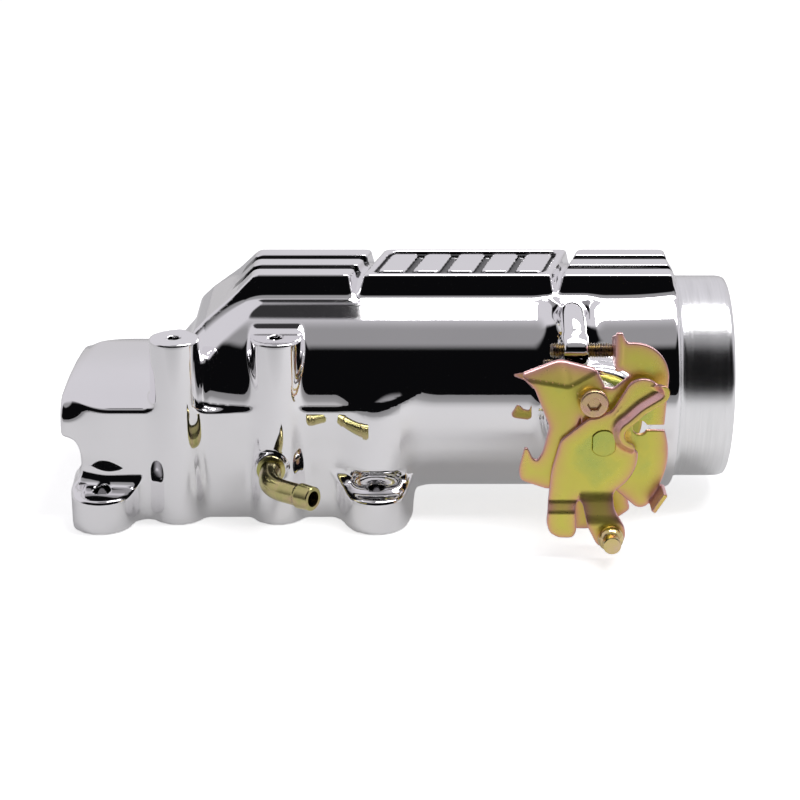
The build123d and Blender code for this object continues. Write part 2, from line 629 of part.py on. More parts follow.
with BuildPart() as side_lever:
    # flat with the hub and the pivot screw
    with BuildSketch(side(LINK_Y + SHEET)):
        with BuildLine():
            Polyline(*LINK_FLAT, close=True)
        make_face()
        with Locations((SHAFT_X, AXIS_Z)):
            Circle(RING_R)
        add(double_d(), mode=Mode.SUBTRACT)
        with Locations((PIVOT_X, PIVOT_Z)):
            Circle(PIVOT_R, mode=Mode.SUBTRACT)
    extrude(amount=SHEET)
    # hooked facet folded back about the slanting bend
    hook_plane = facet(LINK_BEND[0], LINK_BEND[1], LINK_Y, HOOK_FOLD)
    with BuildSketch(hook_plane):
        with BuildLine():
            Polyline(*traced(hook_plane, LINK_HOOK), close=True)
        make_face()
    extrude(amount=-SHEET)
    # roof facet folded back along the top
    low = Vector(LINK_BEND[0][0], LINK_Y, LINK_BEND[0][1])
    left_x, left_y = traced(hook_plane, LINK_ROOF[:1])[0]
    left = hook_plane.from_local_coords(Vector(left_x, left_y, 0))
    right = Vector(LINK_ROOF[2][0], LINK_Y, LINK_ROOF[2][1])
    roof_plane = Plane(origin=low, x_dir=right - low, z_dir=(right - low).cross(left - low))
    with BuildSketch(roof_plane):
        with BuildLine():
            Polyline(*traced(roof_plane, LINK_ROOF), close=True)
        make_face()
    extrude(amount=-SHEET)
save(side_lever, "side_lever")


def stepped_ear(outline, step, z_high, z_low):
    """A sheet ear with an x, z outline that stands forward of the lever below a slanting step."""
    xs = [x for x, z in outline]
    bottom = min(z for x, z in outline)
    front = [(LEVER_Y, z_high + SHEET), (LEVER_Y, z_high), (LEVER_Y - step, z_low), (LEVER_Y - step, bottom)]
    drop = SHEET * step / (step + z_high - z_low)  # keeps the sloping part as thick as the rest
    back = [(y + SHEET, z - drop * (0 < i < 3)) for i, (y, z) in enumerate(front)]
    with BuildPart() as ear:
        with BuildSketch(section(min(xs))):
            with BuildLine():
                Polyline(*front, *reversed(back), close=True)
            make_face()
        extrude(amount=max(xs) - min(xs))
        with BuildSketch(side(LEVER_Y + SHEET)):
            with BuildLine():
                Polyline(*outline, close=True)
            make_face()
        extrude(amount=step + SHEET, mode=Mode.INTERSECT)
    return ear.part


with BuildPart() as lever_plate:
    with BuildSketch(side(LEVER_Y + SHEET)):
        with BuildLine():
            lobe = ThreePointArc((149.4, 67.3), (155.5, 71.8), (161.0, 69.7))
            seat = ThreePointArc((149.4, 56.2), (145.9, 50.2), (149.8, 44.4))
            heel = ThreePointArc((154.8, 42.4), (152.9, 33.0), (146.9, 26.7))
            Polyline(lobe @ 1, (163.0, 66.7), (154.9, 61.5), seat @ 0)
            Line(seat @ 1, heel @ 0)
            Polyline(
                heel @ 1, (145.8, 24.5), (134.0, 24.5), (131.8, 22.0), (121.0, 22.0), (122.0, 34.8),
                (125.1, 46.9), (135.6, 55.7), (144.4, 58.6), lobe @ 0,
            )
        make_face()
        add(double_d(), mode=Mode.SUBTRACT)
        with Locations((PIVOT_X, PIVOT_Z)):
            Circle(PIVOT_HEAD_R + SHAFT_GAP, mode=Mode.SUBTRACT)
    extrude(amount=SHEET)
    # lip turned forward round the cable seat
    with BuildSketch(side(LEVER_Y)):
        with BuildLine():
            Polyline(*LEVER_LIP, close=True)
        make_face()
    extrude(amount=LIP_REACH)
    # plain ear, then the ear of the ball stud
    add(stepped_ear(PLAIN_EAR, PLAIN_STEP, 22.0, 18.5))
    add(stepped_ear(STUD_EAR, STUD_STEP, 24.5, 16.0))
    with BuildSketch(side(LEVER_Y - STUD_STEP + SHEET)):
        with Locations((STUD_X, STUD_Z)):
            Circle(EAR_R)
    extrude(amount=SHEET)
    with BuildSketch(side(LEVER_Y - STUD_STEP + SHEET)):
        with Locations((STUD_X, STUD_Z)):
            Circle(STUD_SHANK_R)
    extrude(amount=SHEET, mode=Mode.SUBTRACT)
save(lever_plate, "lever_plate")

with BuildPart() as pivot_screw:
    with BuildSketch(side(LINK_Y)):
        with Locations((PIVOT_X, PIVOT_Z)):
            Circle(PIVOT_HEAD_R)
    extrude(amount=PIVOT_HEAD_T)
    with BuildSketch(side(QUADRANT_Y + SHEET)):
        with Locations((PIVOT_X, PIVOT_Z)):
            Circle(PIVOT_R)
    extrude(amount=QUADRANT_Y + SHEET - LINK_Y)
    with BuildSketch(side(LINK_Y - PIVOT_HEAD_T)):
        with Locations((PIVOT_X, PIVOT_Z)):
            RegularPolygon(PIVOT_HEX / 2, 6, major_radius=False)
    extrude(amount=-PIVOT_HEAD_T + 0.8, mode=Mode.SUBTRACT)
save(pivot_screw, "pivot_screw")
save(ring(QUADRANT_Y, LINK_Y + SHEET, PIVOT_EAR_R - 1, PIVOT_R, x=PIVOT_X, z=PIVOT_Z), "pivot_collar")

with BuildPart() as ball_stud:
    with Locations((STUD_X, BALL_Y, STUD_Z)):
        Sphere(BALL_R)
    split(bisect_by=side(LEVER_Y - STUD_STEP), keep=Keep.TOP)
    with BuildSketch(side(LEVER_Y - STUD_STEP + SHEET)):
        with Locations((STUD_X, STUD_Z)):
            Circle(STUD_SHANK_R)
    extrude(amount=LEVER_Y - STUD_STEP + SHEET - BALL_Y)
    with BuildSketch(side(BALL_Y)):
        with Locations((STUD_X, STUD_Z)):
            Circle(STUD_END_R)
    extrude(amount=BALL_Y - STUD_END_Y)
save(ball_stud, "ball_stud")

# ---------------------------------------------------------------- idle stop
with BuildPart() as idle_stop_screw:
    with BuildSketch(section(STOP_TIP_X - STOP_LENGTH)):
        with Locations((STOP_Y, STOP_Z)):
            Circle(STOP_R - SHAFT_FIT)
            RegularPolygon(1.5, 6, major_radius=False, mode=Mode.SUBTRACT)
    extrude(amount=3)
    with BuildSketch(section(STOP_TIP_X - STOP_LENGTH + 3)):
        with Locations((STOP_Y, STOP_Z)):
            Circle(STOP_R - SHAFT_FIT)
    extrude(amount=STOP_LENGTH - 3)
save(idle_stop_screw, "idle_stop_screw")
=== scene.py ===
"""Looks of the elbow throttle body: a polished casting, yellow zinc levers and a studio round them.

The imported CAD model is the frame. Shapes are built in millimetres and handed to Blender in metres.
"""

from math import cos, pi, radians, sin, sqrt, tan

import bpy
import numpy as np
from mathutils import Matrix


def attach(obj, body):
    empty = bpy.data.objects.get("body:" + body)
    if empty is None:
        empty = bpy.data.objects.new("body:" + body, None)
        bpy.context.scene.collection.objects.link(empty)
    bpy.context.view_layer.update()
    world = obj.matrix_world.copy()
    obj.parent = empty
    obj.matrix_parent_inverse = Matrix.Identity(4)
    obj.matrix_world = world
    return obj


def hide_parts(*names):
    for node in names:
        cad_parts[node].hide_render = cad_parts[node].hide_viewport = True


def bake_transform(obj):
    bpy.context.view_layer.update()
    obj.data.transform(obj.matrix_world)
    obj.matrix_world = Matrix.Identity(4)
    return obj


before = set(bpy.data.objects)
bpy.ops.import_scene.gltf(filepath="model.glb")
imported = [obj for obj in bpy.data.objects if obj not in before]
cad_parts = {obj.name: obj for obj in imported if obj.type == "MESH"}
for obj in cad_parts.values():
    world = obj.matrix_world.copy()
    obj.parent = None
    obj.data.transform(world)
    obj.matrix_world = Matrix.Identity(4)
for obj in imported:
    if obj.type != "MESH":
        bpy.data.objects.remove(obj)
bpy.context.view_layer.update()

MM = 0.001

# ---------------------------------------------------------------- sizes shared with the CAD model, mm
AXIS_Z = 46.0
BORE_R = 37.5
TUBE_R = 45.0
NECK_R = 41.3
BODY_END_X = 175.0
NECK_END_X = 197.0
DOME_X = 5.0
SLOPE_RISE = 89.2
WALL = 5.0
HOLE_X, HOLE_Y = 54.7, 48.5
FOOT_R, FOOT_H = 12.0, 14.3
BOLT_HOLE_R = 3.4
SKIRT_MID_X, SKIRT_HALF_X, SKIRT_HALF_Y = 1.5, 62.5, 42.2
NOSE_X = (-71.0, -32.0)
NOSE_HALF_Y, NOSE_TOP_Z = 43.0, 51.5
OVERHANG_X, OVERHANG_Z = -63.3, 35.0
BOSS_X, BOSS_Y, BOSS_R, BOSS_TOP_Z = (-24.8, 15.2), -39.5, 10.0, 75.6
SCOOP_X, SCOOP_Y, SCOOP_R = -56.0, 60.5, 20.0
COLUMN_Y, COLUMN_R, COLUMN_TOP_Z = 37.5, 12.6, 54.0
TOP_Z = 95.0
PAD_HALF_Y = 18.4
PAD_SKEW = 8.8 / (2 * PAD_HALF_Y)
PLATE_X = (53.5, 128.5)
RIBS_LEFT_END, RIBS_RIGHT_X = 48.0, (133.0, 173.0)
SHAFT_X = 141.7
SHAFT_BOSS_R = 21.0
BOSS_FACE_Y = 53.0
SENSOR_TAP_X, SENSOR_EAR_R = 23.0, 7.5
PASSAGE_X, PASSAGE_BOSS_R = 95.0, 10.5
STOP_Y, STOP_Z = -59.0, 76.8
BARB_X, BARB_Z, BARB_FACE_Y = 13.0, 24.6, -51.0
BARB_OUT, BARB_RUN = 19.0, 22.7
BARB_TURN, BARB_RISE = radians(52), radians(2)
BARB_TUBE_R, BARB_COLLAR_R, BARB_BORE_R = 4.3, 5.7, 3.1
BARB_RING_L = 7.5


# ---------------------------------------------------------------- distance fields
def soft_min(a, b, k):
    """The union of two fields with a fillet about k wide."""
    h = np.clip(0.5 + 0.5 * (b - a) / k, 0.0, 1.0)
    return b + (a - b) * h - k * h * (1.0 - h)


def soft_max(a, b, k):
    """The overlap of two fields with an edge rounded over about k."""
    return -soft_min(-a, -b, k)


def cylinder(across, along, radius, low, high, k=1.0):
    """A round bar: its distance from its axis, its place along it, and its two ends."""
    return soft_max(across - radius, np.maximum(low - along, along - high), k)


def box2(u, v, half_u, half_v, r):
    """A rectangle with rounded corners in two directions, about the origin."""
    a, b = np.abs(u) - (half_u - r), np.abs(v) - (half_v - r)
    return np.sqrt(np.maximum(a, 0) ** 2 + np.maximum(b, 0) ** 2) + np.minimum(np.maximum(a, b), 0) - r


def net(shape, low, high, step):
    """Quads over the zero level of a field, with corners moved onto it: points, normals and quads."""
    axes = [np.arange(a, b + step, step, dtype=np.float32) for a, b in zip(low, high)]
    xs, ys, zs = axes
    slabs = []
    for i in range(0, len(xs), 24):
        part = shape(xs[i:i + 24, None, None], ys[None, :, None], zs[None, None, :])
        slabs.append(np.broadcast_to(part, (len(xs[i:i + 24]), len(ys), len(zs))).astype(np.float32))
    value = np.concatenate(slabs)
    solid = value < 0
    ni, nj, nk = (n - 1 for n in value.shape)
    count = np.zeros((ni, nj, nk), np.int8)
    for di in (0, 1):
        for dj in (0, 1):
            for dk in (0, 1):
                count += solid[di:ni + di, dj:nj + dj, dk:nk + dk]
    cells = np.argwhere((count > 0) & (count < 8))
    number = np.full(count.shape, -1, np.int32)
    number[tuple(cells.T)] = np.arange(len(cells))
    corner = [(a, b, c) for a in (0, 1) for b in (0, 1) for c in (0, 1)]
    at = np.stack([value[tuple((cells + np.array(c)).T)] for c in corner], 1)
    total, hits = np.zeros((len(cells), 3)), np.zeros(len(cells))
    for m, a in enumerate(corner):
        for n, b in enumerate(corner):
            if m < n and sum(abs(p - q) for p, q in zip(a, b)) == 1:
                crossed = (at[:, m] < 0) != (at[:, n] < 0)
                t = at[:, m] / np.where(crossed, at[:, m] - at[:, n], 1)
                place = np.array(a) + t[:, None] * (np.array(b) - np.array(a))
                total += np.where(crossed[:, None], place, 0)
                hits += crossed
    points = np.array(low) + (cells + total / hits[:, None]) * step
    quads = []
    for axis in range(3):
        u, v = (axis + 1) % 3, (axis + 2) % 3
        ahead = np.roll(solid, -1, axis)
        edge = solid != ahead
        trim = [slice(1, n - 1) for n in solid.shape]
        keep = np.zeros_like(edge)
        keep[tuple(trim)] = edge[tuple(trim)]
        spots = np.argwhere(keep)
        ring = []
        for du, dv in ((0, 0), (-1, 0), (-1, -1), (0, -1)):
            c = spots.copy()
            c[:, u] += du
            c[:, v] += dv
            ring.append(number[tuple(c.T)])
        ring = np.stack(ring, 1)
        outward = solid[tuple(spots.T)]
        ring[~outward] = ring[~outward][:, ::-1]
        quads.append(ring)
    quads = np.concatenate(quads)
    quads = quads[(quads >= 0).all(1)]

    def field(p):
        return shape(p[:, 0], p[:, 1], p[:, 2]).astype(float)

    def slope(p, reach=0.03):
        return np.stack([field(p + d) - field(p - d) for d in np.eye(3) * reach], 1) / (2 * reach)

    for _ in range(4):
        g = slope(points)
        move = (field(points) / np.maximum((g * g).sum(1), 0.2))[:, None] * g
        points -= np.clip(move, -0.5 * step, 0.5 * step)
    g = slope(points)
    return points, g / np.maximum(np.linalg.norm(g, axis=1, keepdims=True), 1e-6), quads


def mesh_piece(name, points, faces, body, materials, replaces=(), normals=None, smooth=True):
    """A mesh piece from points in millimetres, riding on a body of the frame unless body is None."""
    mesh = bpy.data.meshes.new(name)
    mesh.from_pydata((np.asarray(points, float) * MM).tolist(), [], np.asarray(faces).tolist()
                     if isinstance(faces, np.ndarray) else faces)
    mesh.validate()
    piece = bpy.data.objects.new(name, mesh)
    bpy.context.scene.collection.objects.link(piece)
    for m in materials:
        mesh.materials.append(m)
    mesh.polygons.foreach_set("use_smooth", [smooth] * len(mesh.polygons))
    if normals is not None:
        mesh.normals_split_custom_set_from_vertices(np.asarray(normals, float).tolist())
    mesh.update()
    if body:
        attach(piece, body)
    if replaces:
        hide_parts(*replaces)
    return piece


# ---------------------------------------------------------------- casting
def raised_block(x, y, z, u0, u1, low_x=-90.0, high_x=200.0):
    """A raised block on the top. Its ends slant with the cross cuts, or are square at low_x or high_x."""
    u = x - PAD_SKEW * y
    draft = 0.20 * np.maximum(TOP_Z - z, 0)
    side = np.abs(y) - PAD_HALF_Y - draft
    ends = np.maximum(np.maximum(u0 - u, low_x - x), np.maximum(u - u1, x - high_x)) - draft
    return soft_max(soft_max(side, ends, 2.0), z - TOP_Z, 1.2)


def rib_grooves(x, y, z, u0, u1):
    """The two grooves that part a row into three ribs, rounded at the bottom."""
    u = x - PAD_SKEW * y
    floor = np.minimum(TOP_Z, x + SLOPE_RISE) - 3.4
    cut = soft_max(np.abs(np.abs(y) - 6.85) - 2.2 - 0.12 * (z - floor), floor - z, 1.0)
    return np.maximum(cut, np.maximum(u0 - u, u - u1))


def outer(x, y, z):
    """The outside of the casting."""
    h = z - AXIS_Z
    dome = np.sqrt(np.minimum(x - DOME_X, 0) ** 2 + y * y + h * h)
    flare = 1.3 * np.clip((x - 150) / 25, 0, 1) ** 2
    duct = soft_max(dome - TUBE_R - flare, x - BODY_END_X, 3.0)
    slope = (z - x - SLOPE_RISE + 4.0) / sqrt(2)
    duct = soft_max(duct, slope, 7.0)
    # skirt, leaning out to the duct's widest line
    lean = 0.061 * np.clip(z, 0, AXIS_Z)
    skirt = box2(x - SKIRT_MID_X, y, SKIRT_HALF_X + lean, SKIRT_HALF_Y + lean, 13.0)
    skirt = soft_max(skirt, z - 47.0, 2.0)
    d = soft_min(duct, skirt, 2.0 + 12.0 * np.clip((x - 50.0) / 14.0, 0, 1))
    # nose with an arched roof
    roof = z + 0.0015 * y * y + 0.05 * y - NOSE_TOP_Z + 0.6
    nose = soft_max(roof, np.abs(y) - NOSE_HALF_Y, 11.0)
    nose = soft_max(nose, np.maximum(NOSE_X[0] - x, x - NOSE_X[1]), 2.0)
    under = soft_max(x - OVERHANG_X, z - OVERHANG_Z, 9.0)
    nose = soft_max(nose, -under, 1.5)
    scoop_side = np.sqrt((x - SCOOP_X) ** 2 + (np.abs(y) - SCOOP_Y) ** 2) - SCOOP_R
    scoop = soft_max(scoop_side, z - 28.0, 9.0)
    nose = soft_max(nose, -scoop, 3.0)
    d = soft_min(d, nose, 7.0)
    # columns over the inlet-side feet
    column = np.sqrt((x - HOLE_X) ** 2 + (np.abs(y) - COLUMN_Y) ** 2) - COLUMN_R + 0.05 * z
    d = soft_min(d, soft_max(column, z - COLUMN_TOP_Z, 14.0), 8.0)
    seat = np.sqrt((x - HOLE_X) ** 2 + (np.abs(y) - HOLE_Y - 2.5) ** 2) - 12.5
    seat = soft_max(seat, np.maximum(FOOT_H - z, z - 21.0), 4.0)
    d = soft_max(d, -seat, 2.5)
    # feet
    for sx in (-1, 1):
        across = np.sqrt((x - sx * HOLE_X) ** 2 + np.maximum(np.abs(y) - HOLE_Y, 0) ** 2)
        foot = np.maximum(across - FOOT_R, 30 - np.abs(y))
        foot = soft_max(foot, z - FOOT_H, 2.0)
        d = soft_min(d, foot, 8.0)
    # bosses of the cable bracket
    for bx in BOSS_X:
        r = np.sqrt((x - bx) ** 2 + (y - BOSS_Y) ** 2)
        boss = soft_max(r - BOSS_R - 0.012 * (BOSS_TOP_Z - z), z - BOSS_TOP_Z, 1.2)
        d = soft_min(d, boss, 3.5)
    # shaft bosses, sensor ears and the boss of the air passage
    r = np.sqrt((x - SHAFT_X) ** 2 + h * h)
    d = soft_min(d, cylinder(r, np.abs(y), SHAFT_BOSS_R, 0, BOSS_FACE_Y, 5.0), 6.0)
    ears = box2(x - SHAFT_X, h, SENSOR_TAP_X + SENSOR_EAR_R, SENSOR_EAR_R, SENSOR_EAR_R)
    d = soft_min(d, soft_max(ears, np.maximum(20 - y, y - BOSS_FACE_Y), 2.5), 5.0)
    r = np.sqrt((x - PASSAGE_X) ** 2 + h * h)
    d = soft_min(d, cylinder(r, y, PASSAGE_BOSS_R, 20, BOSS_FACE_Y, 2.5), 6.0)
    # idle stop lug, a curved bar from the duct's shoulder out to the screw
    ring = np.abs(np.sqrt((y + 42.0) ** 2 + (z - 68.0) ** 2) - 17.5) - 4.6
    lug = soft_max(ring, np.abs(x - 131.3) - 5.0, 6.0)
    lug = soft_max(lug, np.maximum(y + 20.0, 71.5 - z), 3.0)
    eye = np.sqrt((y - STOP_Y) ** 2 + (z - STOP_Z) ** 2)
    lug = soft_min(lug, cylinder(eye, x, 4.8, 127.0, 136.0, 1.5), 3.0)
    d = soft_min(d, lug, 10.0)
    # boss under the vacuum elbow
    r = np.sqrt((x - BARB_X) ** 2 + (z - BARB_Z) ** 2)
    d = soft_min(d, cylinder(r, -y, 6.3, 30, -BARB_FACE_Y, 1.0), 1.5)
    # ribs, plate and the pad down the slope, which fades into the dome
    pad_slope = (z - x - SLOPE_RISE) / sqrt(2)
    blocks = raised_block(x, y, z, -90.0, RIBS_LEFT_END)
    right_row = raised_block(x, y, z, RIBS_RIGHT_X[0], 200.0, high_x=RIBS_RIGHT_X[1])
    blocks = np.minimum(blocks, right_row)
    blocks = soft_max(blocks, pad_slope, 1.5)
    blocks = soft_max(blocks, 38.0 - (x + z) / sqrt(2), 3.0)
    grooves = np.minimum(rib_grooves(x, y, z, 3.0, 60.0), rib_grooves(x, y, z, 130.0, 180.0))
    blocks = soft_max(blocks, -grooves, 0.8)
    blocks = soft_max(blocks, 62.0 - z, 1.0)
    d = soft_min(d, blocks, 2.5 + 9.0 * np.clip((2.0 - x) / 16.0, 0, 1))
    plate = soft_max(raised_block(x, y, z, *PLATE_X), 62.0 - z, 1.0)
    u, w = x - PAD_SKEW * y - sum(PLATE_X) / 2, y
    half_u = (PLATE_X[1] - PLATE_X[0]) / 2
    panel = box2(u, w, half_u - 3.2, PAD_HALF_Y - 3.2, 3.0)
    plate = soft_max(plate, -soft_max(panel, TOP_Z - 1.8 - z, 0.6), 0.8)
    pitch = (2 * half_u - 6.4) / 5
    bar_u = (u + 2.5 * pitch) % pitch - pitch / 2
    bars = box2(bar_u, w, pitch / 2 - 1.5, PAD_HALF_Y - 6.0, 2.0)
    bars = np.maximum(bars, np.abs(u) - 2.5 * pitch)
    bars = soft_max(bars, np.maximum(z - TOP_Z + 0.3, TOP_Z - 6 - z), 0.6)
    plate = soft_min(plate, bars, 0.6)
    d = soft_min(d, plate, 1.6)
    return soft_max(d, -z, 0.8)


def airway(x, y, z):
    """The hollow inside the casting."""
    h = z - AXIS_Z
    dome = np.sqrt(np.minimum(x - DOME_X, 0) ** 2 + y * y + h * h)
    duct = soft_max(dome - BORE_R - 0.4, (z - x - SLOPE_RISE + WALL * sqrt(2)) / sqrt(2), 8.0)
    well = box2(x - 1.0, y, 57.0, 37.5, 11.0)
    well = soft_max(well, z - 41.0, 5.0)
    d = soft_min(duct, well, 5.0)
    nose = soft_max(box2(x + 46.0, y, 11.0, 37.5, 8.0), z - 45.0, 10.0)
    return soft_min(d, nose, 4.0)


def casting(x, y, z):
    """The casting with its airway and holes."""
    d = soft_max(outer(x, y, z), -airway(x, y, z), 1.0)
    for sx in (-1, 1):
        r = np.sqrt((x - sx * HOLE_X) ** 2 + (np.abs(y) - HOLE_Y) ** 2)
        d = soft_max(d, -np.maximum(r - BOLT_HOLE_R, z - 20.0), 0.6)
    for bx in BOSS_X:
        r = np.sqrt((x - bx) ** 2 + (y - BOSS_Y) ** 2)
        hole = np.maximum(r - 2.6, BOSS_TOP_Z - 18 - z)
        d = soft_max(d, -hole, 0.4)
    r = np.sqrt((x - SHAFT_X) ** 2 + (z - AXIS_Z) ** 2)
    d = soft_max(d, -np.minimum(r - 9.05, np.maximum(r - 11.05, 50.0 - np.abs(y))), 0.4)
    for sx in (-1, 1):
        r = np.sqrt((x - SHAFT_X - sx * SENSOR_TAP_X) ** 2 + (z - AXIS_Z) ** 2)
        d = soft_max(d, -np.maximum(r - 1.7, 43.0 - y), 0.4)
    r = np.sqrt((y - STOP_Y) ** 2 + (z - STOP_Z) ** 2)
    d = soft_max(d, -np.maximum(r - 3.05, np.abs(x - 131.5) - 8), 0.3)
    return d


def build_casting(polished, cast, machined):
    """The casting's blended skin, with its faces sorted into polished, as-cast and machined ones."""
    step = 1.0
    points, normals, quads = net(casting, (-73, -64, -2), (178, 57, 98), step)
    centre = points[quads].mean(1)
    facing = normals[quads].mean(1)
    inside = airway(*centre.T) < 1.5
    piece = mesh_piece("body_casting_shell", points, quads, "housing",
                       [polished, cast, machined], replaces=("body_casting",), normals=normals)
    kind = np.where(inside, 1, np.where((centre[:, 2] < 0.4) & (facing[:, 2] < -0.8), 2, 0))
    piece.data.polygons.foreach_set("material_index", kind.astype(np.int32))
    # how far each point lies down in a groove or the plate's panel
    x, y, z = points.T
    sunk = np.clip((TOP_Z - 0.5 - z) / 1.0, 0, 1)
    u = x - PAD_SKEW * y - sum(PLATE_X) / 2
    panel = box2(u, y, (PLATE_X[1] - PLATE_X[0]) / 2 - 2.8, PAD_HALF_Y - 2.8, 3.0) < 0
    rows = np.minimum(rib_grooves(x, y, z, -1.0, 48.5), rib_grooves(x, y, z, 132.0, 174.5)) < 0.7
    fade_out = np.clip((z - 84.0) / 6.0, 0, 1)
    mark = np.where((panel | (rows & (np.abs(y) < 13))) & (z > 80), sunk * fade_out, 0.0)
    layer = piece.data.attributes.new("groove", "FLOAT", "POINT")
    layer.data.foreach_set("value", mark.astype(np.float32))


# ---------------------------------------------------------------- turned and swept pieces
def grid_faces(rows, columns, close_rows=False):
    """Quads over a grid of points that closes round its columns."""
    faces = []
    for i in range(rows if close_rows else rows - 1):
        a, b = i * columns, (i + 1) % rows * columns
        for j in range(columns):
            k = (j + 1) % columns
            faces.append((a + j, a + k, b + k, b + j))
    return faces


def turned(origin, axis, profile, sides=96, close=True):
    """A profile of (distance along the axis, radius) turned about an axis. Returns points and faces."""
    axis = np.array(axis, float)
    u = np.cross(axis, (0.0, 0.3, 1.0))
    u /= np.linalg.norm(u)
    v = np.cross(axis, u)
    turn = np.linspace(0, 2 * pi, sides, endpoint=False)
    round_ = np.cos(turn)[:, None] * u + np.sin(turn)[:, None] * v
    points = [np.array(origin) + axis * along + radius * round_ for along, radius in profile]
    return np.concatenate(points), grid_faces(len(profile), sides, close)


def rounded(corners, r, steps=4, close=True):
    """A path whose corners are replaced by small arcs."""
    corners = [np.array(c, float) for c in corners]
    made = []
    n = len(corners)
    for i, c in enumerate(corners):
        if not close and i in (0, n - 1):
            made.append(c)
            continue
        a, b = corners[i - 1], corners[(i + 1) % n]
        to_a, to_b = a - c, b - c
        la, lb = np.linalg.norm(to_a), np.linalg.norm(to_b)
        cut = min(r, 0.45 * la, 0.45 * lb)
        p, q = c + to_a / la * cut, c + to_b / lb * cut
        for t in np.linspace(0, 1, steps + 1):
            made.append((1 - t) ** 2 * p + 2 * t * (1 - t) * c + t * t * q)
    return np.array(made)


def swept(path, radii, sides=32):
    """An open-ended tube along a path, with a radius at each point. Returns points and faces."""
    path = np.array(path, float)
    ahead = np.gradient(path, axis=0)
    ahead /= np.linalg.norm(ahead, axis=1, keepdims=True)
    side = np.cross(ahead[0], (0.1, 0.2, 1.0))
    turn = np.linspace(0, 2 * pi, sides, endpoint=False)
    points = []
    for p, a, r in zip(path, ahead, radii):
        side = side - a * side.dot(a)
        side /= np.linalg.norm(side)
        up = np.cross(a, side)
        points.append(p + r * (np.cos(turn)[:, None] * side + np.sin(turn)[:, None] * up))
    return np.concatenate(points), grid_faces(len(path), sides)


# ---------------------------------------------------------------- sheet metal
def outline(x, z, points):
    """Signed distance to a closed outline in x and z."""
    near = 1e9
    inside = False
    for (ax, az), (bx, bz) in zip(points, np.roll(points, -1, 0)):
        ex, ez = bx - ax, bz - az
        t = np.clip(((x - ax) * ex + (z - az) * ez) / (ex * ex + ez * ez), 0, 1)
        near = np.minimum(near, (x - ax - t * ex) ** 2 + (z - az - t * ez) ** 2)
        crosses = (az > z) != (bz > z)
        left = x < ex * (z - az) / (ez if abs(ez) > 1e-9 else 1e-9) + ax
        inside = np.logical_xor(inside, crosses & left)
    return np.where(inside, -1, 1) * np.sqrt(near)


def arc(a, b, c, steps=10):
    """Points along the arc through three points, in x and z."""
    (ax, ay), (bx, by), (cx, cy) = a, b, c
    aa, bb, cc = ax * ax + ay * ay, bx * bx + by * by, cx * cx + cy * cy
    d = 2 * (ax * (by - cy) + bx * (cy - ay) + cx * (ay - by))
    ux = (aa * (by - cy) + bb * (cy - ay) + cc * (ay - by)) / d
    uy = (aa * (cx - bx) + bb * (ax - cx) + cc * (bx - ax)) / d
    t0, t1, t2 = (np.arctan2(q - uy, p - ux) for p, q in (a, b, c))
    turn = (t2 - t0) % (2 * pi)
    if (t1 - t0) % (2 * pi) > turn:
        turn -= 2 * pi
    t = t0 + np.linspace(0, turn, steps)
    r = np.hypot(ax - ux, ay - uy)
    return list(zip(ux + r * np.cos(t), uy + r * np.sin(t)))


SHEET = 2.0
QUADRANT_Y, LINK_Y, LEVER_Y = -73.0, -76.0, -78.0
PIVOT_X, PIVOT_Z = 137.6, 61.8
STUD_X, STUD_Z = 144.6, 10.2
CABLE_X, CABLE_Z = 155.8, 50.3
STOP_TIP_X, STOP_TAB_T = 145.7, 2.2


def shaft_hole(x, z):
    """Distance inside the shaft's two-flat hole."""
    return np.maximum(np.hypot(x - SHAFT_X, z - AXIS_Z) - 5.03, np.abs(x - SHAFT_X) - 4.25)


def sheet(edge, y, face, tilt=1.0):
    """Sheet metal: an outline's distance and the place of its outer face."""
    middle = np.abs(y - face - SHEET / 2) * tilt - SHEET / 2
    return soft_max(edge, middle, 0.5)


LEVER = rounded(
    arc((149.4, 67.3), (155.5, 71.8), (161.0, 69.7)) + [(163.0, 66.7), (154.9, 61.5)]
    + arc((149.4, 56.2), (145.9, 50.2), (149.8, 44.4)) + arc((154.8, 42.4), (152.9, 33.0), (146.9, 26.7))
    + [(145.8, 24.5), (146.2, 20.0), (150.2, 13.5), (150.6, 10.2), (149.6, 6.6), (144.6, 4.1)]
    + [(139.6, 6.4), (135.8, 14.0), (134.2, 21.5), (132.9, 22.6), (131.4, 20.5), (131.5, 16.0)]
    + [(132.0, 10.8), (130.6, 8.0)]
    + [(125.1, 8.0), (121.6, 10.0), (120.3, 14.2), (121.0, 22.0), (122.0, 34.8), (125.1, 46.9)]
    + [(135.6, 55.7), (144.4, 58.6)], 1.6)
LEVER_SEAT = rounded([(163.0, 66.7), (154.9, 61.5), (149.4, 56.2), (146.2, 50.2), (149.8, 44.4)], 3.0,
                     close=False)


def path_distance(x, z, points):
    """Distance to an open path in x and z."""
    near = 1e9
    for (ax, az), (bx, bz) in zip(points[:-1], points[1:]):
        ex, ez = bx - ax, bz - az
        t = np.clip(((x - ax) * ex + (z - az) * ez) / (ex * ex + ez * ez), 0, 1)
        near = np.minimum(near, (x - ax - t * ex) ** 2 + (z - az - t * ez) ** 2)
    return np.sqrt(near)


def step_of(z, high, low, depth):
    """How far a stepped ear stands forward at a height, with soft bends."""
    t = (high - z) / (high - low)
    return depth * np.clip(soft_min(soft_max(t, 0.0, 0.3), 1.0, 0.3), 0, 1)


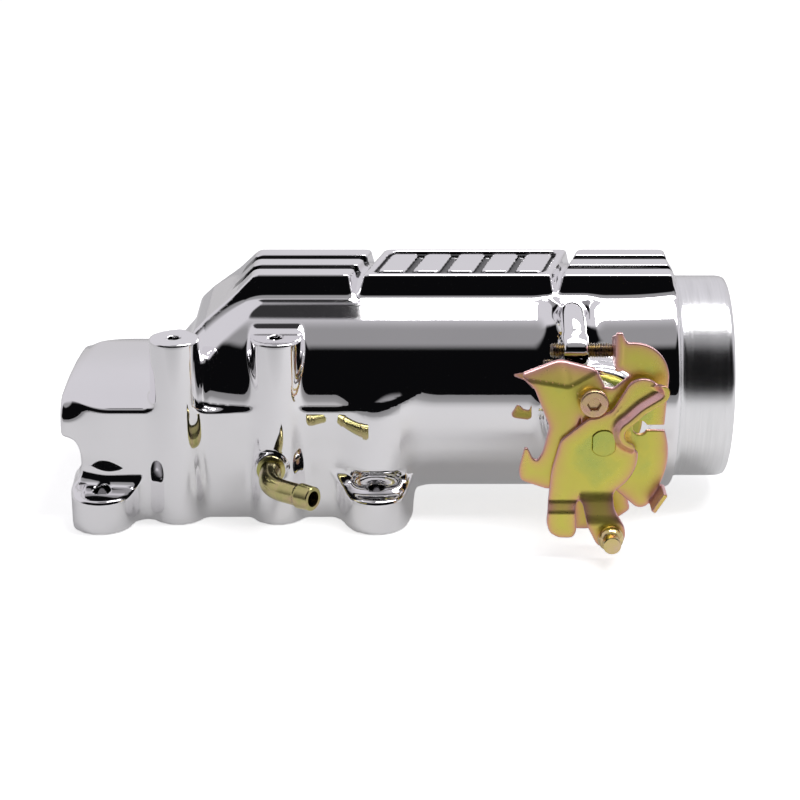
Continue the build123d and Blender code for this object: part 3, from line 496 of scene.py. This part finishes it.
def lever_field(x, y, z):
    """The front lever plate, its two stepped ears and the lip turned forward round the cable seat."""
    edge = outline(x, z, LEVER)
    edge = soft_max(edge, -shaft_hole(x, z), 0.3)
    edge = soft_max(edge, 5.8 - np.hypot(x - PIVOT_X, z - PIVOT_Z), 0.3)
    edge = soft_max(edge, 3.05 - np.hypot(x - STUD_X, z - STUD_Z), 0.3)
    ear = np.clip((x - 132.2) / 1.6, 0, 1)
    forward = (1 - ear) * step_of(z, 22.0, 18.5, 3.0) + ear * step_of(z, 24.5, 16.0, 6.0)
    d = sheet(edge, y, LEVER_Y - forward, np.where(forward > 0.2, 0.85, 1.0))
    flare = outline(x, z, LEVER) + 0.9 - 0.7 * np.clip(LEVER_Y + 1.0 - y, 0, 5)
    lip = np.maximum(np.abs(flare) * 0.82 - 0.9, path_distance(x, z, LEVER_SEAT) - 3.4)
    lip = soft_max(lip, np.maximum(y - LEVER_Y - 0.5, LEVER_Y - 3.5 - y), 0.4)
    return soft_min(d, lip, 1.2)


LINK = rounded([
    (144.6, 60.0), (147.0, 46.0), (138.0, 42.0), (133.5, 50.0), (132.7, 56.1), (125.5, 27.0), (120.8, 26.1),
    (110.3, 29.8), (109.5, 34.0), (111.6, 43.1), (112.9, 42.9), (114.8, 38.7), (116.6, 37.9), (118.6, 41.2),
    (121.0, 51.7), (114.8, 67.5), (110.6, 71.4), (110.6, 72.8), (124.3, 76.6), (138.4, 73.8), (141.6, 67.5),
], 1.8)


def left_of(x, z, start, end):
    """Distance to the left of a line in x and z, seen along it."""
    (ax, az), (bx, bz) = start, end
    return ((z - az) * (bx - ax) - (x - ax) * (bz - az)) / np.hypot(bx - ax, bz - az)


def link_face(x, z):
    """Place of the side lever's outer face: flat at the hub, the hook and the roof folded back."""
    hook = left_of(x, z, (128.3, 67.5), (132.7, 56.1))
    back = tan(radians(16.0)) * soft_max(hook, 0.0, 2.5)
    left = left_of(x, z, (112.5, 70.4), (127.8, 67.8))
    right = left_of(x, z, (127.8, 67.8), (138.6, 73.0))
    roof = soft_max(soft_min(left, right, 0.6), 0.0, 1.2)
    return LINK_Y + back + 0.75 * roof


def link_field(x, y, z):
    """The side lever with its hub, folded along link_face."""
    edge = outline(x, z, LINK)
    edge = np.minimum(edge, np.hypot(x - SHAFT_X, z - AXIS_Z) - 9.0)
    edge = soft_max(edge, -shaft_hole(x, z), 0.3)
    edge = soft_max(edge, 2.95 - np.hypot(x - PIVOT_X, z - PIVOT_Z), 0.3)
    back = link_face(x, z)
    return sheet(edge, y, back, np.where(back > LINK_Y + 0.6, 0.82, 1.0))


QUADRANT = rounded(
    arc((149.9, 84.2), (161.0, 81.3), (166.2, 71.0)) + arc((165.1, 50.0), (167.0, 38.0), (161.1, 21.6))
    + arc((161.1, 21.6), (157.5, 17.3), (154.2, 18.5))[1:]
    + [(147.5, 24.4), (141.7, 33.0), (131.5, 44.0), (131.5, 62.0), (137.0, 67.8), (145.1, 66.0)]
    + [(151.5, 71.5), (145.9, 74.8), (145.9, 88.2), (147.7, 88.2)], 1.2)


def quadrant_field(x, y, z):
    """The rear plate with its stop tab bent back and its full-throttle tab bent forward."""
    edge = outline(x, z, QUADRANT)
    edge = soft_max(edge, -shaft_hole(x, z), 0.3)
    edge = soft_max(edge, 2.95 - np.hypot(x - PIVOT_X, z - PIVOT_Z), 0.3)
    eye = np.hypot(x - CABLE_X, z - CABLE_Z) - 2.8
    slot = np.maximum(np.abs(z - CABLE_Z) - 1.1, CABLE_X - x)
    edge = soft_max(edge, -np.minimum(eye, slot), 0.4)
    d = sheet(edge, y, QUADRANT_Y)
    along = np.maximum(QUADRANT_Y - y, y + 55.0)
    tab = box2(x - STOP_TIP_X - STOP_TAB_T / 2, z - 80.7, STOP_TAB_T / 2, 7.7, 0.6)
    tab = soft_max(tab, along, 0.6)
    tab = soft_max(tab, (z - 88.3 + 0.38 * (y - QUADRANT_Y)) * 0.93, 0.8)
    d = soft_min(d, tab, 1.2)
    u = (x - 163.4) * cos(radians(58)) + (z - 22.6) * sin(radians(58))
    v = -(x - 163.4) * sin(radians(58)) + (z - 22.6) * cos(radians(58))
    reach = np.maximum(y - QUADRANT_Y - 2.0, QUADRANT_Y - 9.0 - y)
    flap = soft_max(box2(u, v, 4.3, 1.0, 0.5), reach, 0.5)
    return soft_min(d, flap, 1.0)


SPRING_ARM = rounded([
    (131.0, 46.0), (132.0, 7.5), (138.0, 7.5), (149.5, 12.7), (153.5, 15.8), (152.5, 19.0), (150.0, 46.0),
], 1.5)


def spring_arm_field(x, y, z):
    """The innermost plate: a disc round the shaft and an arm that reaches down."""
    edge = np.minimum(outline(x, z, SPRING_ARM), np.hypot(x - SHAFT_X, z - AXIS_Z) - 10.5)
    edge = soft_max(edge, 5.0 - np.hypot(x - SHAFT_X, z - AXIS_Z), 0.3)
    return soft_max(edge, np.abs(y + 70.15) - 0.85, 0.5)


def sheet_piece(name, field, low, high, material, edge_of):
    """A sheet metal piece with an attribute that paints a pink sheen onto its cut edges and bends."""
    points, normals, quads = net(field, low, high, 0.4)
    piece = mesh_piece(name + "_formed", points, quads, "throttle", [material], (name,),
                       normals)
    # painted sheen: the colour is pushed towards pink within a few mm of the cut edge and on faces turned
    # away from the front, such as edges, bends and the lip
    inward = np.maximum(edge_of(points[:, 0], points[:, 2]), 0)
    side = 1 - np.abs(normals[:, 1])
    mark = np.clip(0.62 * np.exp(-inward / 2.6) + 0.5 * np.clip(side * 1.4, 0, 1), 0, 1)
    layer = piece.data.attributes.new("rim", "FLOAT", "POINT")
    layer.data.foreach_set("value", mark.astype(np.float32))


# ---------------------------------------------------------------- materials
def nodes_of(name):
    """A new material's node tree, its shader, and two functions that add and join nodes."""
    material = bpy.data.materials.new(name)
    material.use_nodes = True
    tree = material.node_tree
    shader = tree.nodes["Principled BSDF"]

    def add(kind, inputs=(), **settings):
        node = tree.nodes.new(kind)
        for key, value in settings.items():
            setattr(node, key, value)
        for key, value in dict(inputs).items():
            if isinstance(value, bpy.types.NodeSocket):
                tree.links.new(value, node.inputs[key])
            else:
                node.inputs[key].default_value = value
        return node

    return material, shader, add, tree.links.new


def ramp(add, factor, stops):
    """A colour ramp over a factor."""
    node = add("ShaderNodeValToRGB", {"Fac": factor})
    while len(node.color_ramp.elements) < len(stops):
        node.color_ramp.elements.new(0.5)
    for element, (place, colour) in zip(node.color_ramp.elements, stops):
        element.position = place
        element.color = (*colour, 1.0)
    return node.outputs["Color"]


def metal(name, stops, rough, grain=90.0, bump=0.05, stretch=(1, 1, 1), fine=2500.0, metallic=1.0,
          mark=None):
    """A metal with its colour varied by a soft noise, worn roughness and a fine surface grain."""
    material, shader, add, join = nodes_of(name)
    place = add("ShaderNodeTexCoord").outputs["Object"]
    scaled = add("ShaderNodeMapping", {"Vector": place, "Scale": stretch}).outputs["Vector"]
    broad = add("ShaderNodeTexNoise", {"Vector": scaled, "Scale": grain, "Detail": 4.0, "Roughness": 0.55})
    tint = broad.outputs["Fac"]
    # the attribute named by mark shifts the colour up the ramp: a painted pink sheen on the zinc's cut
    # edges and bends, and near black down in the casting's grooves and panel
    if mark:
        rim = add("ShaderNodeAttribute", attribute_name=mark).outputs["Fac"]
        soft = add("ShaderNodeMath", {0: tint, 1: 0.5}, operation="MULTIPLY").outputs[0]
        tint = add("ShaderNodeMath", {0: rim, 1: soft}, operation="ADD").outputs[0]
    join(ramp(add, tint, stops), shader.inputs["Base Color"])
    scratch = add("ShaderNodeTexNoise", {"Vector": scaled, "Scale": fine, "Detail": 3.0, "Roughness": 0.6})
    mixed = add("ShaderNodeMath", {0: broad.outputs["Fac"], 1: scratch.outputs["Fac"]},
                operation="MULTIPLY")
    worn = add("ShaderNodeMapRange", {"Value": mixed.outputs[0], "From Min": 0.12, "From Max": 0.42,
                                      "To Min": rough[0], "To Max": rough[1]})
    join(worn.outputs["Result"], shader.inputs["Roughness"])
    relief = add("ShaderNodeBump", {"Height": scratch.outputs["Fac"], "Strength": bump, "Distance": 0.0002})
    join(relief.outputs["Normal"], shader.inputs["Normal"])
    shader.inputs["Metallic"].default_value = metallic
    return material


polished = metal("polished_aluminium", [(0.0, (0.90, 0.89, 0.905)), (0.4, (0.955, 0.945, 0.96)),
                                        (0.9, (0.05, 0.05, 0.052))], (0.02, 0.06),
                 grain=25.0, bump=0.01, fine=900.0, mark="groove")
as_cast = metal("cast_aluminium", [(0.3, (0.42, 0.42, 0.43)), (0.7, (0.56, 0.56, 0.57))], (0.42, 0.6),
                grain=200.0, bump=0.6, fine=1200.0)
machined = metal("machined_aluminium", [(0.3, (0.86, 0.86, 0.87)), (0.7, (0.95, 0.95, 0.96))], (0.14, 0.26),
                 bump=0.12, stretch=(12, 0.4, 0.4))
# its mark attribute paints a pink sheen onto the sheets' cut edges and bends
yellow_zinc = metal("yellow_zinc", [(0.16, (0.55, 0.67, 0.17)), (0.30, (0.87, 0.80, 0.15)),
                                    (0.55, (0.93, 0.70, 0.20)), (0.80, (0.92, 0.49, 0.32)),
                                    (1.0, (0.88, 0.52, 0.52))],
                    (0.26, 0.4), grain=38.0, bump=0.08, fine=1800.0, metallic=0.8, mark="rim")
rose_zinc = metal("rose_zinc", [(0.3, (0.80, 0.50, 0.38)), (0.5, (0.80, 0.58, 0.30)),
                                (0.7, (0.84, 0.46, 0.44))],
                  (0.2, 0.32), grain=120.0, bump=0.06, metallic=0.85)
gold_zinc = metal("gold_zinc", [(0.3, (0.46, 0.45, 0.17)), (0.5, (0.60, 0.54, 0.24)),
                                (0.7, (0.62, 0.46, 0.28))],
                  (0.16, 0.3), grain=160.0, bump=0.08)
stud_gold = metal("stud_zinc", [(0.3, (0.62, 0.55, 0.20)), (0.5, (0.80, 0.64, 0.28)),
                                (0.7, (0.82, 0.60, 0.42))],
                  (0.08, 0.2), grain=120.0, bump=0.05)
black_zinc = metal("black_zinc", [(0.3, (0.10, 0.10, 0.13)), (0.45, (0.24, 0.19, 0.16)),
                                  (0.58, (0.42, 0.32, 0.14)), (0.7, (0.12, 0.20, 0.30))],
                   (0.18, 0.34), grain=260.0, bump=0.1)
steel = metal("ground_steel", [(0.3, (0.62, 0.60, 0.57)), (0.7, (0.74, 0.72, 0.69))],
              (0.18, 0.34), bump=0.15)
spring_steel = metal("spring_steel", [(0.3, (0.30, 0.30, 0.31)), (0.7, (0.44, 0.43, 0.42))],
                     (0.2, 0.36), bump=0.1)
bronze = metal("sintered_bronze", [(0.3, (0.45, 0.29, 0.14)), (0.7, (0.60, 0.40, 0.20))],
               (0.4, 0.58), bump=0.5)
brass = metal("brass", [(0.3, (0.72, 0.56, 0.25)), (0.7, (0.82, 0.66, 0.33))], (0.18, 0.34), bump=0.1)
rubber = metal("seal_rubber", [(0.3, (0.018, 0.018, 0.018)), (0.7, (0.035, 0.034, 0.033))], (0.45, 0.65),
               bump=0.3, metallic=0.0)
nylon = metal("nylon", [(0.3, (0.60, 0.57, 0.50)), (0.7, (0.70, 0.67, 0.60))], (0.35, 0.5),
              bump=0.1, metallic=0.0)

# ---------------------------------------------------------------- pieces
build_casting(polished, as_cast, machined)


def build_neck():
    """The machined inlet spigot and the bore behind it."""
    profile = [(124.0, 38.2), (124.0, BORE_R), (195.3, BORE_R), (196.0, 37.7), (196.7, 38.4),
               (NECK_END_X, 39.2), (NECK_END_X, 39.9), (196.6, 40.6), (195.4, 41.1), (194.0, NECK_R),
               (177.6, NECK_R), (176.3, 41.6), (175.3, 42.3), (174.8, 43.2), (174.6, 44.2), (172.0, 44.2),
               (172.0, 38.2)]
    points, faces = turned((0, 0, AXIS_Z), (1, 0, 0), profile, 192)
    piece = mesh_piece("inlet_neck", points, [f[::-1] for f in faces], "housing",
                       [machined], replaces=("body_casting",))
    piece.data.set_sharp_from_angle(angle=radians(40))
    return piece


build_neck()
sheet_piece("lever_plate", lever_field, (117, -86, 2), (166, -74, 75), yellow_zinc,
            lambda x, z: np.abs(outline(x, z, LEVER)))
sheet_piece("side_lever", link_field, (104, -79, 23), (152, -57, 80), yellow_zinc,
            lambda x, z: np.abs(outline(x, z, LINK)))
sheet_piece("rear_quadrant_plate", quadrant_field, (129, -84, 14), (169, -53, 91), yellow_zinc,
            lambda x, z: np.abs(outline(x, z, QUADRANT)))
sheet_piece("spring_arm_plate", spring_arm_field, (128, -73, 5), (156, -67, 59), yellow_zinc,
            lambda x, z: np.abs(outline(x, z, SPRING_ARM)))


def build_stop_screw():
    """The idle stop screw with a real helical thread and a hexagon socket in its far end."""
    length, pitch, sides = 24.0, 1.0, 48
    per_turn = 12
    rows = int(length / pitch * per_turn)
    x = np.linspace(0, length, rows + 1)
    turn = np.linspace(0, 2 * pi, sides, endpoint=False)
    phase = (x[:, None] / pitch - turn / (2 * pi)) % 1
    wave = np.abs(phase - 0.5) * 2
    radius = 2.95 - 0.55 * np.clip((wave - 0.12) / 0.76, 0, 1)
    ends = np.minimum(x, length - x)[:, None]
    radius = np.minimum(radius, 2.1 + ends * 0.9)
    points = np.stack([STOP_TIP_X - length + x[:, None] + 0 * turn, STOP_Y + radius * np.cos(turn),
                       STOP_Z + radius * np.sin(turn)], -1).reshape(-1, 3)
    faces = grid_faces(rows + 1, sides)
    hexagon = 1.5 / np.cos((turn + pi / 6) % (pi / 3) - pi / 6)
    for along, radii in ((0.0, hexagon), (2.6, hexagon)):
        ring = np.stack([STOP_TIP_X - length + along + 0 * turn, STOP_Y + radii * np.cos(turn),
                         STOP_Z + radii * np.sin(turn)], -1)
        points = np.concatenate([points, ring])
    mouth, floor = (rows + 1) * sides, (rows + 2) * sides
    for j in range(sides):
        k = (j + 1) % sides
        faces += [(j, mouth + j, mouth + k, k), (mouth + j, floor + j, floor + k, mouth + k)]
    faces.append(tuple(floor + j for j in range(sides))[::-1])
    faces.append(tuple(rows * sides + j for j in range(sides)))
    piece = mesh_piece("idle_stop_screw_threaded", points, faces, "stop_screw", [black_zinc],
                       ("idle_stop_screw",))
    piece.data.set_sharp_from_angle(angle=radians(35))


def build_spring():
    """The return spring: a coil round its bush, with a short lead at its end by the casting."""
    turns, steps = 6.5, 56
    t = np.linspace(0, 1, int(turns * steps))
    angle = -pi / 2 + 2 * pi * turns * t
    coil = np.stack([SHAFT_X + 11.0 * np.cos(angle), -55.4 - 12.0 * t, AXIS_Z + 11.0 * np.sin(angle)], 1)
    lead = np.array([[SHAFT_X - 12.0, -54.6, AXIS_Z - 11.4], [SHAFT_X - 6.0, -55.2, AXIS_Z - 11.2]])
    path = np.concatenate([lead, coil])
    points, faces = swept(path, np.full(len(path), 1.0), 14)
    last = (len(path) - 1) * 14
    faces += [tuple(range(14))[::-1], tuple(range(last, last + 14))]
    piece = mesh_piece("return_spring_coil", points, faces, None, [spring_steel],
                       ("return_spring",))
    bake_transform(piece)


def build_stud():
    """The ball stud: shank through the ear, ball, and the flat-ended stub."""
    turn = np.linspace(radians(38), radians(180 - 43), 28)
    ball = [(86.5 - 5.0 * cos(a), 5.0 * sin(a)) for a in turn]
    profile = [(82.0, 0.01), (82.0, 3.0), (82.4, 3.0)] + ball + [(93.9, 3.4), (94.2, 3.1), (94.2, 0.01)]
    points, faces = turned((STUD_X, 0, STUD_Z), (0, -1, 0), profile, 64, close=False)
    piece = mesh_piece("ball_stud_turned", points, faces, "throttle", [stud_gold],
                       ("ball_stud",))
    piece.data.set_sharp_from_angle(angle=radians(40))


def build_barb():
    """The vacuum elbow: shank, collar, bend and a barbed end with an open bore."""
    corner = np.array([BARB_X, BARB_FACE_Y - BARB_OUT, BARB_Z])
    level = cos(BARB_RISE)
    out = np.array([sin(BARB_TURN) * level, -cos(BARB_TURN) * level, sin(BARB_RISE)])
    start = np.array([BARB_X, -41.0, BARB_Z])
    tip = corner + out * BARB_RUN
    path = rounded([start, corner, tip], 9.0, 16, close=False)
    runs = [path[0]]
    for p in path[1:]:
        n = max(1, int(np.linalg.norm(p - runs[-1]) / 0.35))
        q = runs[-1]
        runs += [q + (p - q) * (i + 1) / n for i in range(n)]
    path = np.array(runs)
    gone = np.concatenate([[0], np.cumsum(np.linalg.norm(np.diff(path, axis=0), axis=1))])
    radii = np.full(len(path), BARB_TUBE_R)
    radii = np.where((gone >= 10.0) & (gone < 11.8), BARB_COLLAR_R, radii)
    on_ring = BARB_RING_L - (gone[-1] - gone)
    ring = BARB_TUBE_R + 0.75 * np.clip(on_ring / 1.2, 0, 1) - 0.05 * on_ring
    radii = np.where(on_ring > 0, ring, radii)
    radii[-1] -= 0.35
    sides = 40
    points, faces = swept(path, radii, sides)
    inner, more = swept(path, np.full(len(path), BARB_BORE_R), sides)
    base = len(points)
    faces += [tuple(base + i for i in f[::-1]) for f in more]
    points = np.concatenate([points, inner])
    last = (len(path) - 1) * sides
    for j in range(sides):
        k = (j + 1) % sides
        faces += [(last + j, last + k, base + last + k, base + last + j), (k, j, base + j, base + k)]
    piece = mesh_piece("vacuum_barb_swept", points, faces, "housing", [gold_zinc],
                       ("vacuum_barb",))
    piece.data.set_sharp_from_angle(angle=radians(35))


def pivot_field(x, y, z):
    """The pivot screw: a low round head with a hexagon socket, and its shank."""
    r = np.hypot(x - PIVOT_X, z - PIVOT_Z)
    head = soft_max(r - 5.5, np.maximum(-78.8 - y, y + 76.0), 1.0)
    a, b = np.abs(x - PIVOT_X), np.abs(z - PIVOT_Z)
    socket = np.maximum(a * 0.866 + b * 0.5, b) - 2.25
    socket = np.maximum(socket, y + 76.8)
    head = soft_max(head, -socket, 0.3)
    return np.minimum(head, np.maximum(r - 2.9, np.maximum(y + 71.0, -77.0 - y)))


build_stop_screw()
build_spring()
build_stud()
build_barb()
spots, spot_normals, quads = net(pivot_field, (131, -80, 55), (145, -70, 69), 0.3)
mesh_piece("pivot_screw_socket", spots, quads, "throttle", [rose_zinc], ("pivot_screw",),
           spot_normals)

# the CAD nodes that stay visible get a material by node or material name, and small edge rounds
LOOKS = {"throttle_shaft": yellow_zinc, "bronze": bronze, "seal_rubber": rubber, "nylon": nylon,
         "steel": steel, "brass": brass,
         "zinc_yellow": yellow_zinc, "zinc_black": black_zinc, "zinc_gold": gold_zinc,
         "spring_steel": spring_steel, "polished_aluminium": machined}
for name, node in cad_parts.items():
    if node.hide_render:
        continue
    for place in node.material_slots:
        look = next((LOOKS[k] for k in LOOKS if name == k or place.material.name.startswith(k)), steel)
        place.material = look
    edge = node.modifiers.new("edges", "BEVEL")
    edge.width, edge.segments = 0.2 * MM, 2
    edge.limit_method, edge.angle_limit = "ANGLE", radians(35)
    edge.harden_normals = False

# ---------------------------------------------------------------- floor, world, light and camera
floor_mesh = bpy.data.meshes.new("floor")
floor_mesh.from_pydata([(-3, -3, 0), (3, -3, 0), (3, 3, 0), (-3, 3, 0)], [], [(0, 1, 2, 3)])
floor = bpy.data.objects.new("floor", floor_mesh)
bpy.context.scene.collection.objects.link(floor)
floor_look, floor_shader, add_floor, join_floor = nodes_of("floor")
floor_shader.inputs["Roughness"].default_value = 0.9
floor_shader.inputs["Specular IOR Level"].default_value = 0.0
seen_floor = add_floor("ShaderNodeLightPath").outputs["Is Camera Ray"]
spot = add_floor("ShaderNodeNewGeometry").outputs["Position"]
depth = add_floor("ShaderNodeSeparateXYZ", {"Vector": spot}).outputs["Y"]
# levels in reflections, by the part and further towards the camera, then the level the camera sees
FLOOR_LEVELS = (("Base Color", 0.58, 0.30, 0.84), ("Emission Strength", 0.19, 0.10, 0.66))
for socket, near, far, direct in FLOOR_LEVELS:
    reflected = add_floor("ShaderNodeMapRange", {"Value": depth, "From Min": -0.22, "From Max": -0.42,
                                                 "To Min": near, "To Max": far}).outputs["Result"]
    level = add_floor("ShaderNodeMapRange", {"Value": seen_floor, "To Min": reflected, "To Max": direct})
    join_floor(level.outputs["Result"], floor_shader.inputs[socket])
floor_shader.inputs["Emission Color"].default_value = (1, 1, 1, 1)
floor_mesh.materials.append(floor_look)

world = bpy.data.worlds.new("studio")
bpy.context.scene.world = world
world.use_nodes = True
sky = world.node_tree
sky.nodes.clear()


def sky_node(kind, inputs=(), **settings):
    """A node of the world, with links or plain values as its inputs."""
    node = sky.nodes.new(kind)
    for key, value in settings.items():
        setattr(node, key, value)
    for key, value in dict(inputs).items():
        if isinstance(value, bpy.types.NodeSocket):
            sky.links.new(value, node.inputs[key])
        else:
            node.inputs[key].default_value = value
    return node


def fade(value, start, end):
    """0 before start, 1 after end, smooth between."""
    return sky_node("ShaderNodeMapRange", {"Value": value, "From Min": start, "From Max": end},
                    interpolation_type="SMOOTHSTEP").outputs["Result"]


def times(a, b):
    """The product of two values."""
    return sky_node("ShaderNodeMath", {0: a, 1: b}, operation="MULTIPLY").outputs[0]


def blend_colour(factor, a, b):
    """Colour a at factor 0, colour b at factor 1."""
    node = sky_node("ShaderNodeMix", {"Factor": factor}, data_type="RGBA")
    for socket, value in ((node.inputs[6], a), (node.inputs[7], b)):
        if isinstance(value, bpy.types.NodeSocket):
            sky.links.new(value, socket)
        else:
            socket.default_value = (*value, 1)
    return node.outputs[2]


# a dark card in front, grey above it, a small dark zenith, lilac grey all round, white to the camera
heading = sky_node("ShaderNodeTexCoord").outputs["Generated"]
axes = sky_node("ShaderNodeSeparateXYZ", {"Vector": heading})
towards, up = axes.outputs["Y"], axes.outputs["Z"]
front = fade(towards, -0.05, -0.4)
band = times(fade(up, -0.10, -0.05), fade(up, 0.80, 0.70))
card = times(front, band)
around = blend_colour(fade(up, -0.02, 0.35), (0.56, 0.55, 0.56), (0.66, 0.645, 0.68))
around = blend_colour(times(front, fade(up, 0.5, 0.6)), around, (0.30, 0.295, 0.305))
around = blend_colour(fade(up, 0.978, 0.992), around, (0.035, 0.034, 0.036))
around = blend_colour(card, around, (0.003, 0.003, 0.0035))
ray = sky_node("ShaderNodeLightPath").outputs["Is Camera Ray"]
seen = blend_colour(ray, around, (1.0, 1.0, 1.0))
backdrop = sky_node("ShaderNodeBackground", {"Color": seen, "Strength": 1.0})
sky_node("ShaderNodeOutputWorld", {"Surface": backdrop.outputs[0]})

lamp = bpy.data.lights.new("top_softbox", "AREA")
lamp.shape, lamp.size, lamp.size_y, lamp.energy = "RECTANGLE", 0.56, 0.22, 2.4
lamp_object = bpy.data.objects.new("top_softbox", lamp)
lamp_object.location = (0.32, -0.02, 0.6)
bpy.context.scene.collection.objects.link(lamp_object)

camera = bpy.data.objects.new("camera", bpy.data.cameras.new("camera"))
camera.data.lens, camera.data.sensor_width = 100.0, 36.0
camera.location = (0.064, -0.868, 0.351)
camera.rotation_euler = (radians(90 - 20), 0, 0)
bpy.context.scene.collection.objects.link(camera)
bpy.context.scene.camera = camera
bpy.context.scene.view_settings.view_transform = "Standard"
